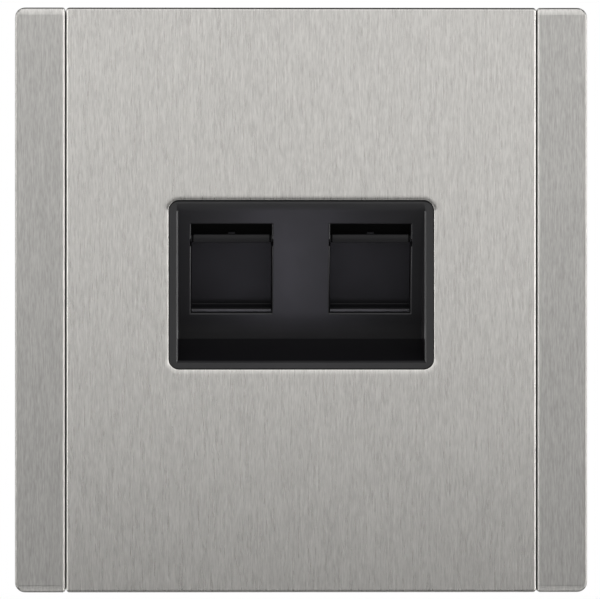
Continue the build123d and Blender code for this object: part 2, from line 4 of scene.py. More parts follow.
import bpy
from bpy.props import FloatProperty, FloatVectorProperty, PointerProperty
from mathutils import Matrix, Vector


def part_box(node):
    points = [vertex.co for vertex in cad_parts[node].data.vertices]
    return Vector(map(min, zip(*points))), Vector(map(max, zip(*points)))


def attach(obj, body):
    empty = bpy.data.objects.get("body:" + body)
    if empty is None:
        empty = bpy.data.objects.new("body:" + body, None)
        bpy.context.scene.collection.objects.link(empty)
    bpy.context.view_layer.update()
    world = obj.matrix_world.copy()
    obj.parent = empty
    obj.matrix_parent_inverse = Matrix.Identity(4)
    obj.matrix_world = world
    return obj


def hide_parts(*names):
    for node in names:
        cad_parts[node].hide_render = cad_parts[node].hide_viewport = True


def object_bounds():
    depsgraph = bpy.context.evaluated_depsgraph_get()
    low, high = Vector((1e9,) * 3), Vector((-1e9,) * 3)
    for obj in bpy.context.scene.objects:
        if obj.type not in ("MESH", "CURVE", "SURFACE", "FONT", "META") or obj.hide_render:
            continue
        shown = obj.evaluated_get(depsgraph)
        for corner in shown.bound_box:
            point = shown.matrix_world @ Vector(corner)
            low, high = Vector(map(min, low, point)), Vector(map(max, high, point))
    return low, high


bl_info = {
    "name": "Double Data Socket",
    "version": (1, 0, 0),
    "blender": (4, 5, 0),
    "location": "3D View > Sidebar > Socket",
    "description": "Dresses a flush mounted double data socket with a brushed steel cover",
    "category": "Object",
}

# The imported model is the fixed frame, and its box is taken before anything is added
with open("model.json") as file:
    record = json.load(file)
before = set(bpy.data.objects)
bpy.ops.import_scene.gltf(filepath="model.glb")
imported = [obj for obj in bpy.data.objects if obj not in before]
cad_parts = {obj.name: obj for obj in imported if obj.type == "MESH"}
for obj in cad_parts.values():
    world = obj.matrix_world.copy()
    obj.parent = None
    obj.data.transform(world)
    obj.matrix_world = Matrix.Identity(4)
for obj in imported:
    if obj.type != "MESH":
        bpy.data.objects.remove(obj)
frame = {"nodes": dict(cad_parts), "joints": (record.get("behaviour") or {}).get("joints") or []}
nodes = frame["nodes"]
cad_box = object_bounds()
cover_low, cover_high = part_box("cover_plate")
hinges = {joint["name"]: Vector(joint["pos_m"]) for joint in frame["joints"]}
outlet_low, outlet_high = Vector((-0.0195, -0.0103, -0.0102)), Vector((0.0195, -0.0103, 0.0146))
foot_slack, top_slack = Vector((0.00005, 0.0, 0.00005)), Vector((0.00005, 0.0, 0.00012))
outlet_opening = (outlet_low - foot_slack, outlet_high + top_slack)
outlet_middle = (outlet_low + outlet_high) / 2
HANDS = ("left", "right")
NEAR = 0.00001

# Brightness of the room by the height of the ray, and at the two sides
ROOM_LEVELS = (
    (-1.0, 0.10),
    (-0.58, 0.12),
    (-0.45, 0.42),
    (-0.23, 0.42),
    (-0.13, 0.1),
    (-0.06, 0.02),
    (-0.01, 1.0),
    (0.04, 0.9),
    (0.12, 1.02),
    (0.3, 1.0),
    (0.6, 0.95),
    (0.75, 0.7),
    (0.85, 0.15),
    (1.0, 0.05),
)
SIDE_LEVELS = (1.6, 1.9)

# Where the room changes along a ray: at the sides, ahead, behind and level with the socket
SIDE_BAND = (0.35, 0.65)
AHEAD_BAND = (-0.15, 0.1)
AHEAD_REST = 0.1
BEHIND_BAND = (0.05, 0.35)
LEVEL_BAND = (0.2, 0.4)

# Shades of the steel's short and long brush lines and of its cloud, darkest and lightest
SHORT_SHADES = (0.885, 1.115)
LONG_SHADES = (0.92, 1.08)
CLOUD_SHADES = (0.985, 1.015)
CLOUD_SCALE = (45.0, 45.0, 20.0)

# How the brush lines spread the light, and how deep they are
ROUGHNESS_SWING = 0.01
BRUSH_PULL = 0.95
LINE_STRENGTH = 0.12
LINE_DEPTH = 0.00002

# The painted highlight at a strip's seam edge lies between these shares of the edge, and an end
# looks up or down this much
SEAM_PAINTED_HIGHLIGHT = (1.25, 0.6)
END_FACING = 0.9

# Gloss of the mouldings as an index of refraction, the lower gloss that paints shade on the
# hollow's floor, and how far the painted highlight at a flap's lip and the painted light at the
# foot of the leaning face lift it
PLAIN_GLOSS = 1.5
OUTLET_GLOSS = 1.56
FLAP_GLOSS = 1.36
PAINTED_SHADE_GLOSS = 1.22
LIP_PAINTED_HIGHLIGHT = 0.7
FOOT_PAINTED_LIGHT = 0.32
FOOT_REACH = 0.003

# Height of a flap's lip, and how softly the gloss changes at the lip's painted highlight and at
# the hollow's painted shade
LIP_HEIGHT = 0.0006
LIP_SOFTNESS = 0.00005
HOLLOW_SOFTNESS = 0.00008

# Where the edges of the outlet and of a flap are found
RIM_INSIDE = 0.0184
RIM_TOP = 0.014
RIM_DEPTH = 0.00027
NUB_REACH = 0.001
LIP_ZONE = 0.001
LIP_DEPTH = 0.0003
LIP_EDGE = 0.0004
LIP_RUN = 0.005

# Powers by which the opening's deeper roll and a strip's fall fade, and the room left for an edge
CORNER_FADE = 8
FALL_CURVE = 1.3
EDGE_ROOM = 1.2

# Size of the floor, how far back its middle lies and how much it glows for the camera
FLOOR_SIZE = 0.6
FLOOR_BACK = 0.28
FLOOR_GLOW = 0.55

# How far the picture's middle lies to the side of the cover's middle and above it
FRAME_SHIFT = (-0.0002, 0.00007)

# Name, size, place and power of the wide lights
SOFT_LIGHTS = (
    ("key_softbox", (1.0, 0.6), (0.25, -1.1, 0.45), 0.75),
    ("left_strip_light", (0.12, 0.6), (-0.55, -0.15, -0.1), 1.0),
    ("right_strip_light", (0.12, 0.6), (0.55, -0.15, -0.1), 1.6),
)

# Size, place and power of the small reflectors, the last one measured from a strip's foot
OUTLET_REFLECTOR = ((0.010, 0.03), (-0.002, -0.041, -0.0245), 0.00028)
FLAP_REFLECTOR = ((0.008, 0.03), (0.0085, -0.034, -0.031), 0.00025)
END_REFLECTOR = ((0.02, 0.02), Vector((0.0, -0.056, -0.02)), 0.00003)
OUTLET_BEAM = radians(60.0)
END_BEAM = radians(40.0)
COOL_TINT = (0.95, 0.92, 1.1)


class SteelFinish(bpy.types.PropertyGroup):
    """Brushed steel of the cover and its side strips."""

    cover_tone: FloatVectorProperty(
        name="Cover tone",
        description="Reflected colour of the cover sheet",
        subtype="COLOR",
        default=(0.51, 0.4975, 0.476),
        min=0.0,
        max=1.0,
    )
    strip_tone: FloatVectorProperty(
        name="Strip tone",
        description="Reflected colour of the side strips",
        subtype="COLOR",
        default=(0.39, 0.382, 0.3665),
        min=0.0,
        max=1.0,
    )
    grain_width: FloatProperty(
        name="Grain width",
        description="Width of one brush line",
        subtype="DISTANCE",
        unit="LENGTH",
        default=0.00016,
    )
    grain_length: FloatProperty(
        name="Grain length",
        description="Length of a short brush line",
        subtype="DISTANCE",
        unit="LENGTH",
        default=0.0012,
    )
    stroke_length: FloatProperty(
        name="Stroke length",
        description="Length of a long brush line",
        subtype="DISTANCE",
        unit="LENGTH",
        default=0.004,
    )
    cover_roughness: FloatProperty(
        name="Cover roughness",
        description="Spread of the cover's reflection across the brush lines",
        subtype="FACTOR",
        default=0.28,
        min=0.0,
        max=1.0,
    )
    strip_roughness: FloatProperty(
        name="Strip roughness",
        description="Spread of the strips' reflection across the brush lines",
        subtype="FACTOR",
        default=0.36,
        min=0.0,
        max=1.0,
    )
    # Painted highlight: how much lighter the steel's colour is painted towards a strip's ends and
    # along its seam edge, standing in for light caught there
    strip_end_painted_highlight: FloatProperty(
        name="Strip end shine",
        description="How much lighter the steel is where a strip's end is drawn round",
        subtype="FACTOR",
        default=1.3,
        min=1.0,
        max=2.0,
    )
    sheet: FloatProperty(
        name="Sheet",
        description="Thickness of the steel",
        subtype="DISTANCE",
        unit="LENGTH",
        default=0.0008,
    )
    cover_corner: FloatProperty(
        name="Cover corner",
        description="Radius of the cover's corners",
        subtype="DISTANCE",
        unit="LENGTH",
        default=0.0005,
    )
    cover_edge: FloatProperty(
        name="Cover edge",
        description="Radius along the cover's edges at the seams",
        subtype="DISTANCE",
        unit="LENGTH",
        default=0.00036,
    )
    opening_corner: FloatProperty(
        name="Opening corner",
        description="Radius of the opening's corners",
        subtype="DISTANCE",
        unit="LENGTH",
        default=0.00158,
    )
    opening_roll: FloatProperty(
        name="Opening roll",
        description="Width of the rolled edge round the outlet",
        subtype="DISTANCE",
        unit="LENGTH",
        default=0.00075,
    )
    roll_flatness: FloatProperty(
        name="Roll flatness",
        description="Depth of the rolled edge as a share of its width",
        subtype="FACTOR",
        default=0.05,
        min=0.0,
        max=1.0,
    )
    roll_side_depth: FloatProperty(
        name="Roll side depth",
        description="How much deeper the rolled edge is at the sides of the opening",
        subtype="FACTOR",
        default=3.6,
        min=1.0,
        max=5.0,
    )
    strip_corner: FloatProperty(
        name="Strip corner",
        description="Radius of a strip's outer corners",
        subtype="DISTANCE",
        unit="LENGTH",
        default=0.0015,
    )
    strip_inner_corner: FloatProperty(
        name="Strip inner corner",
        description="Radius of a strip's corners at the seam",
        subtype="DISTANCE",
        unit="LENGTH",
        default=0.0004,
    )
    strip_edge: FloatProperty(
        name="Strip edge",
        description="Radius along a strip's edges",
        subtype="DISTANCE",
        unit="LENGTH",
        default=0.0004,
    )
    cover_end_edge: FloatProperty(
        name="Cover end edge",
        description="Radius across the upper and lower ends of the cover",
        subtype="DISTANCE",
        unit="LENGTH",
        default=0.0004,
    )
    strip_end_edge: FloatProperty(
        name="Strip end edge",
        description="Radius across the upper and lower ends of a strip",
        subtype="DISTANCE",
        unit="LENGTH",
        default=0.00018,
    )
    strip_fall: FloatProperty(
        name="Strip fall",
        description="How far a strip's face falls away at its ends",
        subtype="DISTANCE",
        unit="LENGTH",
        default=0.00018,
    )
    strip_fall_length: FloatProperty(
        name="Strip fall length",
        description="Length over which a strip's face falls away",
        subtype="DISTANCE",
        unit="LENGTH",
        default=0.0011,
    )


class OutletFinish(bpy.types.PropertyGroup):
    """Black moulded plastic of the outlet and its dust flaps."""

    tone: FloatVectorProperty(
        name="Outlet tone",
        description="Colour of the moulded plastic",
        subtype="COLOR",
        default=(0.0042, 0.0040, 0.0050),
        min=0.0,
        max=1.0,
    )
    grain_size: FloatProperty(
        name="Moulding grain",
        description="Size of the fine grain of the mould",
        subtype="DISTANCE",
        unit="LENGTH",
        default=0.00012,
    )
    roughness: FloatProperty(
        name="Roughness",
        description="Satin of the moulded face",
        subtype="FACTOR",
        default=0.40,
        min=0.0,
        max=1.0,
    )
    brow_round: FloatProperty(
        name="Brow round",
        description="How far the soft brow reaches to each side",
        subtype="DISTANCE",
        unit="LENGTH",
        default=0.0006,
    )
    floor_line: FloatProperty(
        name="Floor line",
        description="Height at which the leaning face meets the floor of the hollow",
        subtype="DISTANCE",
        unit="LENGTH",
        default=-0.0057,
    )
    rim_round: FloatProperty(
        name="Rim round",
        description="Rounding of the rim's edges",
        subtype="DISTANCE",
        unit="LENGTH",
        default=0.00008,
    )
    barrel_radius: FloatProperty(
        name="Barrel radius",
        description="Radius of a flap's hinge barrel",
        subtype="DISTANCE",
        unit="LENGTH",
        default=0.00065,
    )
    barrel_end: FloatProperty(
        name="Barrel end",
        description="From a flap's middle to where its barrel ends begin to turn in",
        subtype="DISTANCE",
        unit="LENGTH",
        default=0.00558,
    )
    barrel_end_round: FloatProperty(
        name="Barrel end round",
        description="Rounding of the barrel's ends",
        subtype="DISTANCE",
        unit="LENGTH",
        default=0.0002,
    )
    barrel_square: FloatProperty(
        name="Barrel square",
        description="How far the front of a flap's barrel is squared up to a bar",
        subtype="FACTOR",
        default=0.8,
        min=0.0,
        max=1.0,
    )
    nub_round: FloatProperty(
        name="Nub round",
        description="Rounding of the nub on the barrel",
        subtype="DISTANCE",
        unit="LENGTH",
        default=0.0001,
    )
    lip_round: FloatProperty(
        name="Lip round",
        description="Rounding of the upper edge of a flap's lip",
        subtype="DISTANCE",
        unit="LENGTH",
        default=0.0003,
    )
    lip_foot_round: FloatProperty(
        name="Lip foot round",
        description="Rounding of the lower edge of a flap's lip",
        subtype="DISTANCE",
        unit="LENGTH",
        default=0.00006,
    )


class StudioSetup(bpy.types.PropertyGroup):
    """Camera, floor and light."""

    camera_distance: FloatProperty(
        name="Camera distance",
        description="From the lens to the face of the cover",
        subtype="DISTANCE",
        unit="LENGTH",
        default=0.95,
    )
    camera_azimuth: FloatProperty(
        name="Camera azimuth",
        description="How far the camera stands to the left of the middle",
        subtype="ANGLE",
        unit="ROTATION",
        default=radians(1.03),
    )
    frame_width: FloatProperty(
        name="Frame width",
        description="Width of the picture at the face of the cover",
        subtype="DISTANCE",
        unit="LENGTH",
        default=0.08824,
    )
    floor_drop: FloatProperty(
        name="Floor drop",
        description="From the foot of the socket down to the floor",
        subtype="DISTANCE",
        unit="LENGTH",
        default=0.05,
    )


def start_material(name):
    """New node material with its tree and its shader."""
    material = bpy.data.materials.new(name)
    material.use_nodes = True
    tree = material.node_tree
    return material, tree, tree.nodes["Principled BSDF"]


def add_node(tree, kind, values=(), **settings):
    """One node, with its settings and the values of its input sockets."""
    node = tree.nodes.new(kind)
    for name, value in settings.items():
        setattr(node, name, value)
    for socket, value in dict(values).items():
        node.inputs[socket].default_value = value
    return node


def scaled_noise(tree, scale, detail, roughness=0.5):
    """Noise in the piece's own coordinates, stretched by a scale for each axis."""
    place = add_node(tree, "ShaderNodeTexCoord")
    stretch = add_node(tree, "ShaderNodeMapping", {"Scale": scale})
    noise = add_node(
        tree, "ShaderNodeTexNoise", {"Scale": 1.0, "Detail": detail, "Roughness": roughness}
    )
    tree.links.new(place.outputs["Object"], stretch.inputs["Vector"])
    tree.links.new(stretch.outputs["Vector"], noise.inputs["Vector"])
    return noise.outputs["Fac"]


def spread(tree, value, low, high):
    """The middle of a noise's range, spread from low to high."""
    node = add_node(
        tree,
        "ShaderNodeMapRange",
        {"From Min": 0.3, "From Max": 0.7, "To Min": low, "To Max": high},
    )
    tree.links.new(value, node.inputs["Value"])
    return node.outputs["Result"]


def eased(tree, value, low, high, start=0.0, stop=1.0):
    """A value between low and high, eased from start to stop."""
    node = add_node(
        tree,
        "ShaderNodeMapRange",
        {"From Min": low, "From Max": high, "To Min": start, "To Max": stop},
        interpolation_type="SMOOTHSTEP",
    )
    tree.links.new(value, node.inputs["Value"])
    return node.outputs["Result"]


def product(tree, first, second):
    """Two values multiplied."""
    node = add_node(tree, "ShaderNodeMath", operation="MULTIPLY")
    tree.links.new(first, node.inputs[0])
    tree.links.new(second, node.inputs[1])
    return node.outputs["Value"]


def tinted(tree, tone, value):
    """A colour made lighter or darker by a value."""
    node = add_node(tree, "ShaderNodeVectorMath", operation="SCALE")
    node.inputs[0].default_value = tone
    tree.links.new(value, node.inputs["Scale"])
    return node.outputs["Vector"]


def raise_bump(tree, shader, height, strength, distance):
    """A fine relief on the shader's normal."""
    bump = add_node(tree, "ShaderNodeBump", {"Strength": strength, "Distance": distance})
    tree.links.new(height, bump.inputs["Height"])
    tree.links.new(bump.outputs["Normal"], shader.inputs["Normal"])


def paint_highlight(tree, level, axis, painted_shine, start, stop):
    """A value that rises to a painted highlight towards the ends or edges of a piece, light
    painted into the colour.
    """
    place = add_node(tree, "ShaderNodeTexCoord")
    axes = add_node(tree, "ShaderNodeSeparateXYZ")
    rise = add_node(tree, "ShaderNodeMath", operation="ABSOLUTE")
    tree.links.new(place.outputs["Object"], axes.inputs["Vector"])
    tree.links.new(axes.outputs[axis], rise.inputs[0])
    return product(tree, level, eased(tree, rise.outputs["Value"], start, stop, 1.0, painted_shine))


def across_lines(tree):
    """The direction across the brush lines: round the faces, and straight over the ends."""
    place = add_node(tree, "ShaderNodeTexCoord")
    axes = add_node(tree, "ShaderNodeSeparateXYZ")
    tree.links.new(place.outputs["Normal"], axes.inputs["Vector"])
    upright = add_node(tree, "ShaderNodeMath", operation="ABSOLUTE")
    tree.links.new(axes.outputs["Z"], upright.inputs[0])
    at_end = add_node(tree, "ShaderNodeMath", {1: END_FACING}, operation="GREATER_THAN")
    tree.links.new(upright.outputs["Value"], at_end.inputs[0])
    choice = add_node(tree, "ShaderNodeMix", data_type="VECTOR")
    tree.links.new(at_end.outputs["Value"], choice.inputs["Factor"])
    for socket, axis in (("A", "Z"), ("B", "Y")):
        tangent = add_node(tree, "ShaderNodeTangent", direction_type="RADIAL", axis=axis)
        tree.links.new(tangent.outputs["Tangent"], choice.inputs[socket])
    return choice.outputs["Result"]


def brushed_steel(name, tone, roughness, finish, painted_shine=1.0):
    """Steel brushed up and down: short and long fine lines over a faint cloud, and with a painted
    shine above 1 a painted highlight at a strip's ends and seam edge.
    """
    material, tree, shader = start_material(name)
    across = 1.0 / finish.grain_width
    short = scaled_noise(tree, (across, across, 1.0 / finish.grain_length), 2.0)
    lines = scaled_noise(tree, (-across, across, 1.0 / finish.stroke_length), 2.0)
    cloud = scaled_noise(tree, CLOUD_SCALE, 2.0)
    shade = product(tree, spread(tree, short, *SHORT_SHADES), spread(tree, lines, *LONG_SHADES))
    shade = product(tree, shade, spread(tree, cloud, *CLOUD_SHADES))
    # Painted highlight: the colour is made lighter towards the strip's upper and lower ends and
    # along its seam edge
    if painted_shine > 1.0:
        stop = cover_high.z - finish.strip_end_edge
        shade = paint_highlight(tree, shade, "Z", painted_shine, cover_high.z - finish.strip_fall_length, stop)
        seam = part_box("right_side_strip")[0].x
        start, stop = (seam + finish.strip_edge * share for share in SEAM_PAINTED_HIGHLIGHT)
        shade = paint_highlight(tree, shade, "X", painted_shine, start, stop)
    tree.links.new(tinted(tree, tone, shade), shader.inputs["Base Color"])
    tree.links.new(
        spread(tree, lines, roughness - ROUGHNESS_SWING, roughness + ROUGHNESS_SWING),
        shader.inputs["Roughness"],
    )
    shader.inputs["Metallic"].default_value = 1.0
    shader.inputs["Anisotropic"].default_value = BRUSH_PULL
    tree.links.new(across_lines(tree), shader.inputs["Tangent"])
    raise_bump(tree, shader, lines, LINE_STRENGTH, LINE_DEPTH)
    return material


def moulded_plastic(
    name, tone, grain_size, roughness, relief=0.15, gloss=PLAIN_GLOSS, painted_lip_sheen=None, painted_hollow_shading=None
):
    """Plastic with the fine grain of its mould, its gloss raised at a lip for a painted
    highlight, or lowered on a hollow's floor for painted shade and raised just above it for
    painted light.
    """
    material, tree, shader = start_material(name)
    fine = 1.0 / grain_size
    grain = scaled_noise(tree, (fine, fine, fine), 2.0)
    cloud = scaled_noise(tree, (150.0, 150.0, 150.0), 2.0)
    tree.links.new(
        tinted(tree, tone, spread(tree, grain, 0.9, 1.1)), shader.inputs["Base Color"]
    )
    tree.links.new(
        spread(tree, cloud, roughness - 0.03, roughness + 0.03), shader.inputs["Roughness"]
    )
    shader.inputs["IOR"].default_value = gloss
    if painted_lip_sheen or painted_hollow_shading:
        place = add_node(tree, "ShaderNodeTexCoord")
        axes = add_node(tree, "ShaderNodeSeparateXYZ")
        tree.links.new(place.outputs["Object"], axes.inputs["Vector"])
    # Painted shade and light: lower gloss darkens the hollow's floor behind the rim, and higher
    # gloss lightens the leaning face just above the floor line
    if painted_hollow_shading:
        foot, rim, soft = painted_hollow_shading
        below = eased(tree, axes.outputs["Z"], foot - soft, foot + soft, 1.0, 0.0)
        behind = eased(tree, axes.outputs["Y"], rim + soft, rim + 3 * soft)
        lift = add_node(tree, "ShaderNodeMath", {1: gloss}, operation="ADD")
        near = eased(tree, axes.outputs["Z"], foot, foot + FOOT_REACH, FOOT_PAINTED_LIGHT, 0.0)
        tree.links.new(product(tree, near, behind), lift.inputs[0])
        painted_gloss = add_node(tree, "ShaderNodeMapRange", {"To Max": PAINTED_SHADE_GLOSS})
        tree.links.new(lift.outputs["Value"], painted_gloss.inputs["To Min"])
        tree.links.new(product(tree, below, behind), painted_gloss.inputs["Value"])
        tree.links.new(painted_gloss.outputs["Result"], shader.inputs["IOR"])
    # Painted highlight: higher gloss below the lip's height makes the flap's lip lighter
    if painted_lip_sheen:
        lip, soft = painted_lip_sheen
        painted_shine = eased(tree, axes.outputs["Z"], lip - soft, lip + soft, gloss + LIP_PAINTED_HIGHLIGHT, gloss)
        tree.links.new(painted_shine, shader.inputs["IOR"])
    raise_bump(tree, shader, grain, relief, grain_size / 4)
    return material


def plated_metal(name, tone, roughness, mottle_size):
    """Plated sheet metal with a cloudy finish."""
    material, tree, shader = start_material(name)
    coarse = 1.0 / mottle_size
    mottle = scaled_noise(tree, (coarse, coarse, coarse), 3.0)
    tree.links.new(
        tinted(tree, tone, spread(tree, mottle, 0.9, 1.08)), shader.inputs["Base Color"]
    )
    tree.links.new(
        spread(tree, mottle, roughness - 0.06, roughness + 0.06), shader.inputs["Roughness"]
    )
    shader.inputs["Metallic"].default_value = 1.0
    raise_bump(tree, shader, mottle, 0.1, mottle_size / 20)
    return material


def dress(node, material):
    """A CAD piece takes a finish."""
    nodes[node].data.materials.clear()
    nodes[node].data.materials.append(material)


def take_up(piece):
    """A piece becomes the only one that is selected and worked on."""
    bpy.ops.object.select_all(action="DESELECT")
    piece.select_set(True)
    bpy.context.view_layer.objects.active = piece


def add_block(name, low, high):
    """A box between two corners, with its place in its mesh."""
    bpy.ops.object.select_all(action="DESELECT")
    bpy.ops.mesh.primitive_cube_add(size=1.0, location=(low + high) / 2, scale=high - low)
    piece = bpy.context.object
    piece.name = name
    piece.data.name = name
    bpy.ops.object.transform_apply(location=True, rotation=True, scale=True)
    return piece


def copy_solid(node, name):
    """A merged copy of a CAD piece, its flat faces whole again."""
    take_up(nodes[node])
    bpy.ops.object.duplicate()
    piece = bpy.context.object
    piece.name = name
    piece.data.name = name
    bpy.ops.mesh.customdata_custom_splitnormals_clear()
    bpy.ops.object.mode_set(mode="EDIT")
    bpy.ops.mesh.select_all(action="SELECT")
    bpy.ops.mesh.remove_doubles(threshold=1e-6)
    bpy.ops.mesh.dissolve_limited(angle_limit=radians(1.0))
    bpy.ops.object.mode_set(mode="OBJECT")
    return piece


def pick_edges(piece, test, sharpness=0.0):
    """Edit mode, with the sharp edges selected whose two ends pass a test."""
    take_up(piece)
    bpy.ops.object.mode_set(mode="EDIT")
    bpy.ops.mesh.select_mode(type="EDGE")
    bpy.ops.mesh.select_all(action="DESELECT")
    bpy.ops.mesh.edges_select_sharp(sharpness=sharpness)
    bpy.ops.object.mode_set(mode="OBJECT")
    points = piece.data.vertices
    for edge in piece.data.edges:
        edge.select = edge.select and test(*(points[index].co for index in edge.vertices))
    for part in (*points, *piece.data.polygons):
        part.select = False
    bpy.ops.object.mode_set(mode="EDIT")


def round_edges(piece, radius, segments, test, sharpness=radians(5.0)):
    """Round the sharp edges whose two ends pass a test."""
    pick_edges(piece, test, sharpness)
    bpy.ops.mesh.bevel(offset=radius, segments=segments, affect="EDGES", clamp_overlap=True)
    bpy.ops.object.mode_set(mode="OBJECT")


def round_front(piece, side_radius, end_radius, segments, test, sharpness=radians(50.0)):
    """Round the edges of a front, finer across its ends than along its sides."""
    pick_edges(piece, test, sharpness)
    bpy.ops.object.mode_set(mode="OBJECT")
    points = piece.data.vertices
    weights = piece.data.attributes.new("bevel_weight_edge", "FLOAT", "EDGE")
    for edge in piece.data.edges:
        if edge.select:
            run = points[edge.vertices[1]].co - points[edge.vertices[0]].co
            radius = end_radius + (side_radius - end_radius) * abs(run.z) / run.length
            weights.data[edge.index].value = radius / side_radius
    bevel = piece.modifiers.new("front_edge", "BEVEL")
    bevel.limit_method = "WEIGHT"
    bevel.width = side_radius
    bevel.segments = segments
    bevel.use_clamp_overlap = False
    bpy.ops.object.modifier_apply(modifier=bevel.name)


def hollow(piece, rear, thickness):
    """Open the rear of a closed cap and give its walls a thickness inwards."""
    take_up(piece)
    bpy.ops.object.mode_set(mode="EDIT")
    bpy.ops.mesh.select_mode(type="FACE")
    bpy.ops.mesh.select_all(action="DESELECT")
    bpy.ops.object.mode_set(mode="OBJECT")
    for face in piece.data.polygons:
        face.select = abs(face.center.y - rear) < NEAR
    bpy.ops.object.mode_set(mode="EDIT")
    bpy.ops.mesh.delete(type="FACE")
    bpy.ops.object.mode_set(mode="OBJECT")
    wall = piece.modifiers.new("wall", "SOLIDIFY")
    wall.thickness = thickness
    wall.use_even_offset = True
    bpy.ops.object.modifier_apply(modifier=wall.name)


def punch(piece, cutter):
    """Cut a hole through a piece and take the cutter away."""
    take_up(piece)
    hole = piece.modifiers.new("hole", "BOOLEAN")
    hole.operation = "DIFFERENCE"
    hole.solver = "EXACT"
    hole.object = cutter
    bpy.ops.object.modifier_apply(modifier=hole.name)
    bpy.data.objects.remove(cutter)


def split(piece, place, across):
    """Part a piece's faces along a plane."""
    take_up(piece)
    bpy.ops.object.mode_set(mode="EDIT")
    bpy.ops.mesh.select_all(action="SELECT")
    bpy.ops.mesh.bisect(plane_co=place, plane_no=across)
    bpy.ops.object.mode_set(mode="OBJECT")


def finish_piece(piece, material, node, body):
    """Smooth a piece, give it its finish and let it stand for a CAD piece."""
    take_up(piece)
    bpy.ops.object.shade_smooth_by_angle(angle=radians(35.0))
    level = piece.modifiers.new("level_faces", "WEIGHTED_NORMAL")
    level.weight = 100
    level.keep_sharp = True
    bpy.ops.object.modifier_apply(modifier=level.name)
    piece.data.materials.clear()
    piece.data.materials.append(material)
    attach(piece, body)
    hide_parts(node)


def runs_deep(first, second):
    """An edge that runs straight to the wall."""
    return abs(first.x - second.x) < NEAR and abs(first.z - second.z) < NEAR


def press_cover(finish):
    """Cover sheet: a shallow pan with fine edges and the outlet's opening rolled inwards."""
    low, high = cover_low, cover_high
    cover = add_block("cover_sheet", low, high)
    round_edges(cover, finish.cover_corner, 5, runs_deep)
    front = low.y + NEAR
    round_front(
        cover, finish.cover_edge, finish.cover_end_edge, 5, lambda a, b: max(a.y, b.y) < front
    )
    hollow(cover, high.y, finish.sheet)
    opening_low, opening_high = outlet_opening
    deep = Vector((0.0, cover_high.y - cover_low.y, 0.0))
    cutter = add_block("cutter", opening_low - deep, opening_high + deep)
    round_edges(cutter, finish.opening_corner, 12, runs_deep)
    punch(cover, cutter)

    def rim(first, second):
        return all(
            abs(end.y - low.y) < NEAR
            and opening_low.x - NEAR < end.x < opening_high.x + NEAR
            and opening_low.z - NEAR < end.z < opening_high.z + NEAR
            for end in (first, second)
        )

    pick_edges(cover, rim, radians(60.0))
    bpy.ops.mesh.bevel(offset=finish.opening_roll, segments=8, affect="EDGES")
    bpy.ops.transform.resize(
        value=(1.0, finish.roll_flatness, 1.0), center_override=(0.0, low.y, 0.0)
    )
    bpy.ops.object.mode_set(mode="OBJECT")
    middle, half = outlet_middle, (opening_high - opening_low) / 2
    reach = finish.opening_corner + finish.opening_roll + NEAR
    roll = finish.opening_roll * finish.roll_flatness + NEAR
    for point in cover.data.vertices:
        beyond = abs(point.co.x - middle.x) - half.x + finish.opening_corner
        rise = abs(point.co.z - middle.z) - half.z + finish.opening_corner
        depth = point.co.y - low.y
        if depth < roll and 0.0 < beyond < reach and rise < reach:
            turn = beyond / hypot(beyond, max(rise, 0.0))
            point.co.y += depth * (finish.roll_side_depth - 1.0) * turn**CORNER_FADE
    return cover


def press_strip(hand, finish):
    """Side strip: a narrow cap with round corners, whose face falls away at both ends."""
    low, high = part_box(f"{hand}_side_strip")
    strip = add_block(f"{hand}_strip", low, high)
    outside = low.x if hand == "left" else high.x
    round_edges(
        strip,
        finish.strip_corner,
        8,
        lambda a, b: runs_deep(a, b) and abs(a.x - outside) < NEAR,
    )
    round_edges(
        strip,
        finish.strip_inner_corner,
        6,
        lambda a, b: runs_deep(a, b) and abs(a.x - outside) > (high.x - low.x) / 2,
    )
    hollow(strip, high.y, finish.sheet)
    length, corner = finish.strip_fall_length, finish.strip_corner
    for step in range(1, 9):
        run = finish.strip_end_edge + (length - finish.strip_end_edge) * step / 8
        split(strip, (0.0, 0.0, high.z - run), (0.0, 0.0, 1.0))
        split(strip, (0.0, 0.0, run - high.z), (0.0, 0.0, 1.0))
    room = finish.strip_edge * EDGE_ROOM
    for step in range(7):
        run = room + (corner - room) * step / 6
        place = outside - run if outside > 0.0 else outside + run
        split(strip, (place, 0.0, 0.0), (1.0, 0.0, 0.0))
    for point in strip.data.vertices:
        beyond = abs(point.co.x) - abs(outside) + corner
        rise = abs(point.co.z) - high.z + corner
        if point.co.y < low.y + finish.sheet + NEAR and rise > 0.0:
            turn = rise / hypot(rise, max(beyond, 0.0))
            reach = max(0.0, rise / turn - corner + length) / length
            point.co.y += finish.strip_fall * turn**2 * reach**FALL_CURVE
    front = low.y + finish.strip_fall + NEAR
    round_front(
        strip, finish.strip_edge, finish.strip_end_edge, 5, lambda a, b: max(a.y, b.y) < front
    )
    return strip


def mould_bezel(finish):
    """Outlet: the CAD piece with a soft brow and a finely rounded rim."""
    bezel = copy_solid("insert_bezel", "outlet_bezel")
    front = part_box("insert_bezel")[0].y
    points = [point.co for point in bezel.data.vertices if point.co.y < front + NEAR]
    brow = max(
        point.z for point in points if abs(point.x) < RIM_INSIDE and point.z < RIM_TOP
    )

    def brow_line(first, second):
        return all(end.y < front + NEAR and abs(end.z - brow) < NEAR for end in (first, second))

    round_edges(bezel, finish.brow_round, 10, brow_line)

    def rim(first, second):
        return all(end.y < front + RIM_DEPTH for end in (first, second))

    round_edges(bezel, finish.rim_round, 3, rim, radians(30.0))
    return bezel


